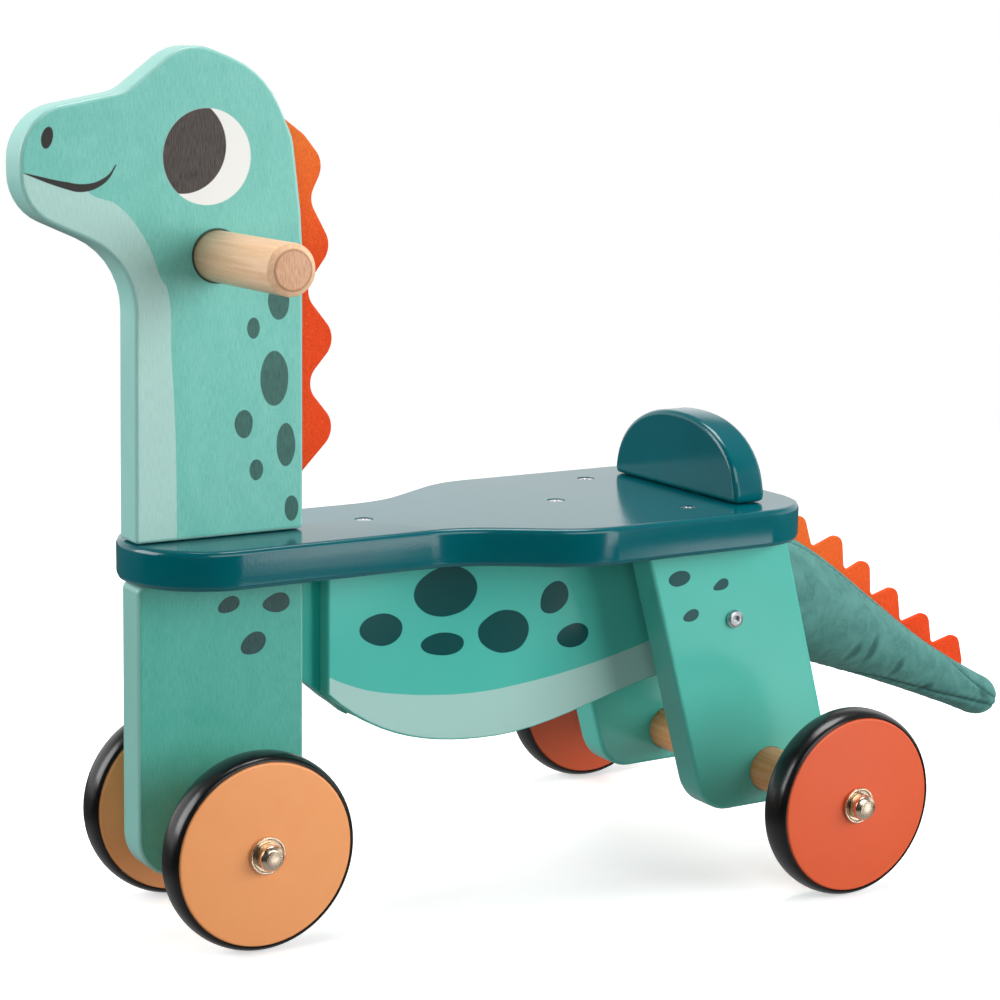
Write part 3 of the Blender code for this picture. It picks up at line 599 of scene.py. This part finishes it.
# Seams of the tail on its sides, as t and the angle over the side in degrees
TOP_SEAM = ((0.0, 62.0), (0.44, 58.0), (0.53, 60.0), (0.64, 71.0), (0.76, 74.0), (0.82, 66.0),
            (0.87, 47.0), (0.92, 32.0), (0.97, 24.0), (1.0, 17.0))
LOW_SEAM = ((0.0, -90.0), (0.53, -89.0), (0.573, -74.0), (0.63, -65.0), (0.70, -56.0),
            (0.79, -47.0), (0.853, -36.0), (0.915, -24.0), (1.0, -11.0))
SEAM_DEEP, SEAM_NARROW = 0.9, 1.2
SWELL_HIGH, SWELL_AWAY, SWELL_WIDE = 0.3, 3.4, 1.9
GATHER_DEEP, GATHER_PITCH, GATHER_AWAY, GATHER_WIDE = 0.16, 5.2, 2.0, 2.6
PUCKER_DEEP = 0.8

LOOKS = {
    "head": stained_birch("stained_birch_head", ("7AC7BB", "66BBAE", "4BA294", "2C655C",
                                                 "124740"), NECK_SPOTS, True, 0.15),
    # The leg's tones and inks are deeper than the head's in the same stain: painted shade for the leg
    # under the seat
    "leg": stained_birch("stained_birch_leg_shaded", ("55B0A1", "48A798", "2E8B7D", "244B4B", "102E2E"),
                         LEG_SPOTS, False, 0.27),
    "belly": sprayed_board("sprayed_board_belly", ("4AB7A9", "53BDAF"), BELLY_SPOTS, True, 0.15),
    "rear_leg": sprayed_board("sprayed_board_rear_leg", ("4AB3A4", "53B9AA"), REAR_SPOTS, False, 0.24),
    # The belly's paint, deeper and with less red, for the core and the tail block, which lie in shade:
    # painted shade
    "plain": sprayed_board("sprayed_board_shaded", ("22A99B", "2AAFA1"), (), False, 0.24),
    "seat": lacquer("petrol_gloss_lacquer", "005F67", "00565F", 0.14, 0.12),
    "orange": lacquer("orange_satin_lacquer", "F1A468", "EC9A5E", 0.34, 0.05),
    "red": lacquer("red_orange_satin_lacquer", "DB5C33", "D4552D", 0.34, 0.05),
    "beech": varnished_beech("varnished_beech_axle", ("F0B080", "E09A5E")),
    "grip": varnished_beech("varnished_beech_grip", ("EFC8A3", "E2B68E"), HANDLE_HALF),
    "rubber": black_rubber("black_rubber"),
    "nickel": plated_metal("bright_nickel_plate", "F2DCC2", 0.18, 0.30),
    "satin": plated_metal("satin_nickel_plate", "DCE3E5", 0.3, 0.4),
    "zinc": plated_metal("zinc_plated_steel", "D3D7D8", 0.2, 0.36),
    "neck_felt": wool_felt("orange_wool_felt_neck", "EC7630", "E64512",
                           ((52.0, 400.0), (0.0, -0.014))),
    "tail_felt": wool_felt("orange_wool_felt_tail", "EC6824", "E64210",
                           ((372.0, 172.0), (0.008, -0.006))),
    "velvet": short_velvet("sea_green_velvet"),
}
BOARDS = {
    "neck_board": ("head", "turquoise_wood"), "front_leg": ("leg", "turquoise_wood"),
    "seat": ("seat", "petrol_wood"), "backrest": ("seat", "petrol_wood"),
    "belly_core": ("plain", "turquoise_wood"), "belly_left": ("belly", "turquoise_wood"),
    "belly_right": ("belly", "turquoise_wood"), "rear_leg_left": ("rear_leg", "turquoise_wood"),
    "rear_leg_right": ("rear_leg", "turquoise_wood"), "tail_block": ("plain", "turquoise_wood"),
}
NODE_LOOKS = {
    "front_axle_dowel": "beech", "rear_axle_dowel": "beech", "front_axle_rod": "zinc",
    "rear_axle_rod": "zinc", "neck_dowel_front": "beech", "neck_dowel_rear": "beech",
    "back_dowel_left": "beech", "back_dowel_right": "beech",
}


def dress_nodes():
    """Gives each CAD node that stays its finish."""
    for name, look in NODE_LOOKS.items():
        mesh = NODES[name].data
        mesh.materials.clear()
        mesh.materials.append(LOOKS[look])


def sand_boards():
    """Boards in the CAD boards' own shapes, with smooth rounded edges: each is a copy of the
    board's triangles with its doubles and its flat faces merged and its normals weighted by
    area, so that the flat faces stay flat and the shine runs evenly round the edges."""
    for node, (look, slot) in BOARDS.items():
        mesh = NODES[node].data.copy()
        mesh.materials.clear()
        form = bmesh.new()
        form.from_mesh(mesh)
        bmesh.ops.remove_doubles(form, verts=form.verts, dist=0.002 * MM)
        bmesh.ops.dissolve_limit(form, angle_limit=math.radians(0.2), verts=form.verts,
                                 edges=form.edges)
        form.to_mesh(mesh)
        form.free()
        board = finished("sanded_" + node, mesh, LOOKS[look], "frame", [node])
        even = board.modifiers.new("even_shine", "WEIGHTED_NORMAL")
        even.keep_sharp = True
        even.weight = 100


def make_wheel(end, side, sign):
    """Disc, crowned tyre, flange and cap of one wheel, all turned about its axle."""
    where = (0.0 if end == "front" else WHEELBASE, AXLE_HEIGHT)
    name = f"{end}_{side}"
    body = "wheel_" + name
    out = WHEEL_OUT[end]
    half = WHEEL_WIDTH / 2.0
    middle = out - half
    rim = TYRE_SEAT - GAP
    disc = fillet([(-half, BORE, 0.0), (-half, rim, 1.3), (half, rim, 1.3), (half, BORE, 0.0)],
                  12.0)
    angle = np.linspace(math.pi, 0.0, 33)
    tyre = np.stack([TYRE_HALF * np.cos(angle), TYRE_SEAT + TYRE_CROWN * np.sin(angle)], -1)
    face = out + GAP
    dish, lip = face + 1.0, face + 1.5
    flange = fillet([(face, BORE, 0.0), (face, FLANGE_RADIUS, 0.3), (lip, FLANGE_RADIUS, 0.45),
                     (lip, 8.5, 0.35), (dish, 7.9, 0.3), (dish, BORE, 0.0)], 12.0)
    base = dish + GAP
    cap = fillet([(base + 3.0, 0.0, 0.0), (base + 3.0, BORE, 0.0), (base, BORE, 0.0),
                  (base, CAP_RADIUS, 0.3), (base + 5.0, CAP_RADIUS, 2.4),
                  (base + 6.8, 4.6, 1.6), (base + 7.1, 0.0, 0.0)], 8.0, closed=False)
    colour, slot = ("orange", "orange_wood") if end == "front" else ("red", "red_wood")
    # The disc and the tyre turn. The flange and the cap stay on the axle
    for kind, node, profile, shift, look, its_slot, rides, ring in (
            ("disc", "wheel_disc_", disc, middle, colour, slot, body, True),
            ("tyre", "wheel_tyre_", tyre, middle, "rubber", "black_rubber", body, True),
            ("flange", "hub_washer_", flange, 0.0, "nickel", "nickel", "frame", True),
            ("cap", "axle_cap_", cap, 0.0, "nickel", "nickel", "frame", False)):
        placed = np.stack([sign * (profile[:, 0] + shift), profile[:, 1]], -1)
        skin(f"{name}_{kind}", turned(placed, *where), LOOKS[look], rides, [node + name],
             ring)


def driven(profile, socket, sides=48):
    """Rows of a screw about its own axis, as (u, v, h). Each profile entry is (r, share, h): the
    row's radius is r + share s(a). The socket's outline s(a) is that of a cross, the lesser of
    arm / cos a and half width / sin a about the nearest arm, or of a hexagon, flat / cos a about
    the nearest flat."""
    angle = np.linspace(0.0, 2.0 * math.pi, sides, endpoint=False)
    kind, wide, arm = socket
    turn = math.pi / (2.0 if kind == "cross" else 3.0)
    off = np.abs((angle + turn / 2.0) % turn - turn / 2.0)
    outline = wide / np.cos(off)
    if kind == "cross":
        outline = np.minimum(arm / np.cos(off), wide / np.maximum(np.sin(off), 1e-6))
    radius, share, height = np.array(profile).T[..., None]
    radius = radius + share * outline
    return np.stack([radius * np.cos(angle), radius * np.sin(angle), height + 0.0 * radius], -1)


def make_fasteners():
    """Countersunk seat screws with a cross socket, and button-head bolts with a hexagon socket
    in the rear legs."""
    screw = [(0.0, 0.0, -2.4), (0.0, 0.45, -2.2), (0.0, 1.0, -0.4), (3.1, 0.0, -0.35),
             (4.3, 0.0, -0.4), (4.6, 0.0, -0.6), (4.6, 0.0, -0.9), (2.0, 0.0, -3.6),
             (2.0, 0.0, -38.0), (0.0, 0.0, -40.0)]
    for name, (x, y) in SEAT_SCREWS.items():
        rows = driven(screw, ("cross", 0.55, 2.5)) + (x, y, SEAT_TOP)
        skin("screw_" + name, rows, LOOKS["zinc"], "frame", ["seat_screw_" + name])
    bolt = [(0.0, 0.0, 0.6), (0.0, 0.97, 0.7), (0.0, 1.0, 2.7), (2.4, 0.0, 2.8), (3.7, 0.0, 2.72),
            (4.4, 0.0, 2.45), (4.85, 0.0, 1.8), (5.0, 0.0, 1.1), (5.0, 0.0, 0.3), (2.9, 0.0, 0.3),
            (2.9, 0.0, -33.8), (2.2, 0.0, -35.0), (0.0, 0.0, -35.0)]
    for side, sign in (("left", 1.0), ("right", -1.0)):
        u, v, h = np.moveaxis(driven(bolt, ("hexagon", 1.9, 0.0)), -1, 0)
        rows = np.stack([sign * (h + REAR_LEG_OUT), u + BOLT_AT[0], v + BOLT_AT[1]], -1)
        skin("bolt_" + side, rows, LOOKS["satin"], "frame", ["leg_bolt_" + side])


def make_handle():
    """Grip bar, turned, with a chamfer at both ends."""
    right = [(HANDLE_HALF, 0.0, 0.0), (HANDLE_HALF, HANDLE_FACE, 0.5),
             (HANDLE_HALF - 2.4, HANDLE_RADIUS, 0.9)]
    left = [(-x, r, soft) for x, r, soft in reversed(right)]
    profile = fillet(right + left, 10.0, closed=False)
    skin("grip_bar", turned(profile, *HANDLE, sides=120), LOOKS["grip"], "frame", ["handle"])


def make_crests():
    """Felt crests of the neck and the tail, cut from 3 mm felt."""
    neck = fillet([
        (35.3, 224.3, 0.0), (45.6, 224.3, 1.0), (69.0, 248.0, 12.0), (49.5, 271.5, 11.0),
        (68.8, 293.2, 12.0), (49.0, 317.5, 11.0), (65.4, 339.5, 12.0), (52.2, 363.1, 11.0),
        (61.0, 381.0, 12.0), (49.3, 395.0, 8.0), (38.5, 402.8, 0.0), (30.1, 403.4, 0.0)])
    t = 0.14 + 0.77 * np.linspace(0.0, 1.0, 60)
    place, _, up = on_tail(t)
    base = place + up * (tail_radius(t) - 1.8)[:, None]
    teeth = [(495.0, 76.0, 1.5), (490.5, 94.0, 6.5), (470.0, 89.0, 3.4), (466.3, 110.2, 6.3),
             (445.0, 105.0, 3.4), (441.6, 128.6, 6.3), (421.4, 123.0, 3.4), (419.8, 147.9, 6.3),
             (400.8, 140.2, 3.4), (398.2, 164.4, 6.3), (376.5, 156.7, 3.8), (370.0, 177.4, 6.3),
             (347.0, 172.0, 2.0)]
    ends = [(*base[-1], 0.0), *teeth, (*base[0], 0.0)]
    tail = np.concatenate([base, fillet(ends, closed=False)[1:-1]])
    for name, outline, bottom, node, rests in (
            ("neck_felt", neck, -1, "neck_crest", "neck_board"),
            ("tail_felt", tail, len(base) - 1, "tail_crest", "tail")):
        felt = skin(name, cut_sheet(outline, FELT, 0.7), LOOKS[name], "frame", [node],
                    caps=True)
        # The cut lies along its base, whose direction is worked out from its end to its start
        chord = outline[0] - outline[bottom]
        chord /= np.linalg.norm(chord)


def places(mesh):
    """A mesh's points as an array, in metres."""
    flat = np.empty(3 * len(mesh.vertices), np.float32)
    mesh.vertices.foreach_get("co", flat)
    return flat.reshape(-1, 3).astype(float)


def settle(item):
    """Turns a piece and its modifiers into one plain mesh."""
    graph = bpy.context.evaluated_depsgraph_get()
    mesh = bpy.data.meshes.new_from_object(item.evaluated_get(graph))
    item.modifiers.clear()
    item.data = mesh
    mesh.shade_smooth()


def stuff(item, square, most):
    """Fills a soft piece as stuffing does, with cloth: its skin is laid out again in even
    squares, is let out by 4.5 %, pressure swells it for twenty steps without gravity, and no
    point moves further than most. Near the tail's root it moves less, and at the root not."""
    squares = item.modifiers.new("squares", "REMESH")
    squares.mode, squares.voxel_size = "VOXEL", square * MM
    settle(item)
    before = places(item.data)
    cloth = item.modifiers.new("stuffing", "CLOTH")
    cloth.settings.use_pressure = True
    cloth.settings.uniform_pressure_force = 4.0
    cloth.settings.shrink_min = -0.045
    cloth.settings.effector_weights.gravity = 0.0
    for step in range(1, 21):
        bpy.context.scene.frame_set(step)
    graph = bpy.context.evaluated_depsgraph_get()
    moved = places(item.evaluated_get(graph).data) - before
    length = np.linalg.norm(moved, axis=1)
    moved *= np.minimum(1.0, most * MM / np.maximum(length, 1e-9))[:, None]
    from_root = before[:, 1] / MM + AXLE_TO_MIDDLE - TAIL_ROOT_Y
    moved *= np.clip(from_root / ROOT_HELD, 0.0, 1.0)[:, None]
    item.modifiers.clear()
    item.data.vertices.foreach_set("co", (before + moved).ravel())
    bpy.context.scene.frame_set(1)
    finer = item.modifiers.new("finer", "SUBSURF")
    finer.levels = finer.render_levels = 2
    settle(item)


def sew(item):
    """Draws the tail's seams in. With d the distance from a seam round the skin, the skin sinks
    by deep exp(-(d / narrow)^2), swells beside the seam, and ripples along it where the velvet
    is gathered, by gather sin(2 pi run / pitch). The puckers sink too."""
    mesh = item.data
    points = places(mesh) / MM + (0.0, AXLE_TO_MIDDLE, 0.0)
    t = np.linspace(0.0, 1.0, TAIL_STATIONS)
    middle, _, up = on_tail(t)
    away = [np.hypot(points[:, 1] - y, points[:, 2] - z).astype(np.float32) for y, z in middle]
    nearest = np.argmin(np.stack(away, axis=-1), axis=-1)
    offset = points - np.concatenate([np.zeros((TAIL_STATIONS, 1)), middle], axis=1)[nearest]
    radius = np.linalg.norm(offset, axis=1)
    outwards = offset / np.maximum(radius, 1e-6)[:, None]
    high = np.sum(offset[:, 1:] * up[nearest], axis=1)
    angle = np.arctan2(high, np.abs(points[:, 0]))
    run = t[nearest] * TAIL_LENGTH
    push = np.zeros(len(points))
    painted_seam_shade = np.zeros(len(points))
    for seam in (TOP_SEAM, LOW_SEAM):
        at, degrees = np.array(seam).T
        d = radius * np.abs(angle - np.radians(np.interp(t[nearest], at, degrees)))
        push -= SEAM_DEEP * np.exp(-(d / SEAM_NARROW) ** 2)
        push += SWELL_HIGH * np.exp(-((d - SWELL_AWAY) / SWELL_WIDE) ** 2)
        gathered = np.exp(-((d - GATHER_AWAY) / GATHER_WIDE) ** 2)
        push += GATHER_DEEP * np.sin(2.0 * math.pi * run / GATHER_PITCH) * gathered
        # Painted shade along the seam's crease, kept as a point attribute for the velvet
        painted_seam_shade = np.maximum(painted_seam_shade, 0.75 * np.exp(-(d / 0.85) ** 2))
    for y, z, long, wide, tilt, _ in PUCKERS:
        a = math.radians(tilt)
        along = (points[:, 1] - y) * math.cos(a) + (points[:, 2] - z) * math.sin(a)
        over = (points[:, 2] - z) * math.cos(a) - (points[:, 1] - y) * math.sin(a)
        push -= PUCKER_DEEP * np.exp(-(along / long) ** 2 - (over / wide) ** 2)
    # Nothing moves at the root, and less at the tip, where the seams meet
    push *= np.clip(run / ROOT_HELD, 0.0, 1.0)
    push *= np.clip((TAIL_LENGTH + 6.0 - run) / 14.0, 0.0, 1.0)
    mesh.vertices.foreach_set("co", in_scene(points + push[:, None] * outwards).ravel())
    mesh.attributes.new("painted_seam_shade", "FLOAT", "POINT").data.foreach_set("value", painted_seam_shade)
    mesh.update()


def make_tail():
    """Stuffed velvet tail, sewn from panels."""
    slim = TAIL_TO_FILL - TAIL_FULLER
    tail = skin("stuffed_tail", tail_rows(slim), LOOKS["velvet"], "frame", ["tail"],
                caps=True)
    stuff(tail, 4.0, 2.7)
    sew(tail)


# Stage: places in metres, turns in degrees, the lens in millimetres

CAMERA_PLACE = (1.1245, -0.7378, 0.4457)
CAMERA_TURN = (31.68, 10.44, 0.8)
CAMERA_LENS, CAMERA_SENSOR = 91.48, 36.0
TOY = (0.0, 0.0, 0.2)
# Name, place, aim, width, height, watts, whether it lights and whether it is mirrored. The
# right and front boxes only light. From the veil down they are only mirrored: in the head, in
# the seat's waist, in the hub caps and the leg bolts, and in rounded edges
SOFTBOXES = (
    ("right_softbox", (1.35, 1.0, 0.62), TOY, 1.6, 1.2, 32.0, True, False),
    ("front_softbox", (1.85, -1.3, 0.55), TOY, 1.3, 0.9, 12.0, True, False),
    ("left_softbox", (-0.7, -2.0, 1.1), TOY, 1.4, 1.4, 36.0, True, True),
    ("top_softbox", (-0.4, 0.2, 2.4), TOY, 1.3, 1.3, 40.0, True, True),
    ("veil_softbox", (1.4, 0.6, 0.285), (0.0, 0.6, 0.285), 0.36, 0.67, 2.5, False, True),
    ("waist_softbox", (1.03, 0.34, -0.03), (0.05, -0.17, 0.19), 0.16, 0.14, 0.11, False, True),
    ("front_cap_softbox", (1.4, 0.45, -0.43), (0.05, -0.21, 0.05), 0.28, 0.2, 0.5, False, True),
    ("rear_cap_softbox", (1.4, 1.11, -0.375), (0.1, 0.09, 0.08), 0.28, 0.33, 0.8, False, True),
    ("crown_softbox", (1.7, 0.1, 1.25), (0.0, 0.0, 0.15), 1.7, 0.9, 14.0, False, True),
)


def lay_floor():
    """Pale floor that fades out. It catches shadows, and nothing mirrors it or is lit by it."""
    made, tree, shader = finish("studio_floor", Roughness=0.9)
    shader.inputs["Base Color"].default_value = linear("FAFAFA")
    shader.inputs["Emission Color"].default_value = (1.0, 1.0, 1.0, 1.0)
    shader.inputs["Emission Strength"].default_value = 0.45
    far = add(tree, "VectorMath", {0: add(tree, "TexCoord", out=3)}, out=1, operation="LENGTH")
    gone = add(tree, "MapRange", {"Value": far, "From Min": 0.55, "From Max": 1.7},
               interpolation_type="SMOOTHSTEP")
    clear = add(tree, "BsdfTransparent")
    both = add(tree, "MixShader", {0: gone, 1: shader.outputs[0], 2: clear})
    tree.links.new(both, tree.nodes["Material Output"].inputs["Surface"])
    mesh = bpy.data.meshes.new("floor")
    size = 2.5
    mesh.from_pydata([(-size, -size, 0.0), (size, -size, 0.0), (size, size, 0.0),
                      (-size, size, 0.0)], [], [(0, 1, 2, 3)])
    mesh.materials.append(made)
    floor = bpy.data.objects.new("floor", mesh)
    floor.visible_glossy = floor.visible_diffuse = floor.visible_shadow = False
    bpy.context.scene.collection.objects.link(floor)


def hang_lights():
    """Soft boxes round the toy. Each shows in what it lights, in what mirrors it, or in both."""
    for name, place, aim, wide, high, power, lights, mirrored in SOFTBOXES:
        lamp = bpy.data.lights.new(name, "AREA")
        lamp.shape = "RECTANGLE"
        lamp.size, lamp.size_y = wide, high
        lamp.energy = power
        item = bpy.data.objects.new(name, lamp)
        item.location = place
        item.rotation_euler = (Vector(aim) - Vector(place)).to_track_quat("-Z", "Y").to_euler()
        item.visible_diffuse, item.visible_glossy, item.visible_camera = lights, mirrored, False
        bpy.context.scene.collection.objects.link(item)


def light_room():
    """The studio's own light: a white backdrop behind the toy, a dim room on the camera's side
    and plain white where the camera looks past the toy."""
    world = bpy.data.worlds.new("studio")
    world.use_nodes = True
    tree = world.node_tree
    back = tree.nodes["Background"]
    facing = add(tree, "VectorMath", {0: add(tree, "TexCoord"), 1: (-0.85, 0.525, 0.0)}, out=1,
                 operation="DOT_PRODUCT")
    level = add(tree, "MapRange", {"Value": facing, "From Min": -0.35, "From Max": 0.1,
                                   "To Min": 0.1, "To Max": 1.08},
                interpolation_type="SMOOTHSTEP")
    # Over the direction's height: the backdrop is bright from the horizon to 20 degrees up and
    # dim from 40, and the lit table shows from 30 degrees down, near the toy
    height = add(tree, "SeparateXYZ", {0: add(tree, "TexCoord")}, out=2)
    height = add(tree, "MapRange", {"Value": height, "From Min": -1.0})
    wall = add(tree, "FloatCurve", {1: height}, curve=((0.0, 0.1), (0.42, 0.1), (0.52, 1.0),
                                                       (0.68, 1.0), (0.82, 0.25), (1.0, 0.25)))
    table = add(tree, "FloatCurve", {1: height}, curve=((0.0, 0.3), (0.26, 0.3), (0.34, 0.04),
                                                        (1.0, 0.04)))
    level = add(tree, "Math", {0: level, 1: wall, 2: table}, operation="MULTIPLY_ADD")
    seen = add(tree, "LightPath")
    level = add(tree, "Mix", {0: seen, 2: level, 3: 1.0}, data_type="FLOAT")
    tree.links.new(level, back.inputs["Strength"])
    back.inputs["Color"].default_value = (1.0, 1.0, 1.0, 1.0)
    bpy.context.scene.world = world
    bpy.context.scene.view_settings.view_transform = "Standard"


def place_camera():
    """Camera where the photograph was taken from, turned by yaw, then pitch, then roll."""
    yaw, pitch, roll = (math.radians(a) for a in CAMERA_TURN)
    ahead = Vector((-math.cos(yaw) * math.cos(pitch), math.sin(yaw) * math.cos(pitch),
                    -math.sin(pitch)))
    right = ahead.cross(Vector((0.0, 0.0, 1.0))).normalized()
    up = right.cross(ahead)
    tilted = right * math.cos(roll) + up * math.sin(roll)
    over = up * math.cos(roll) - right * math.sin(roll)
    lens = bpy.data.cameras.new("camera")
    lens.lens, lens.sensor_width = CAMERA_LENS, CAMERA_SENSOR
    camera = bpy.data.objects.new("camera", lens)
    camera.matrix_world = Matrix.Translation(CAMERA_PLACE) @ Matrix(
        (tilted, over, -ahead)).transposed().to_4x4()
    bpy.context.scene.collection.objects.link(camera)
    bpy.context.scene.camera = camera


dress_nodes()
sand_boards()
for end in ("front", "rear"):
    for side, sign in (("left", 1.0), ("right", -1.0)):
        make_wheel(end, side, sign)
make_handle()
make_fasteners()
make_crests()
make_tail()
lay_floor()
hang_lights()
light_room()
place_camera()
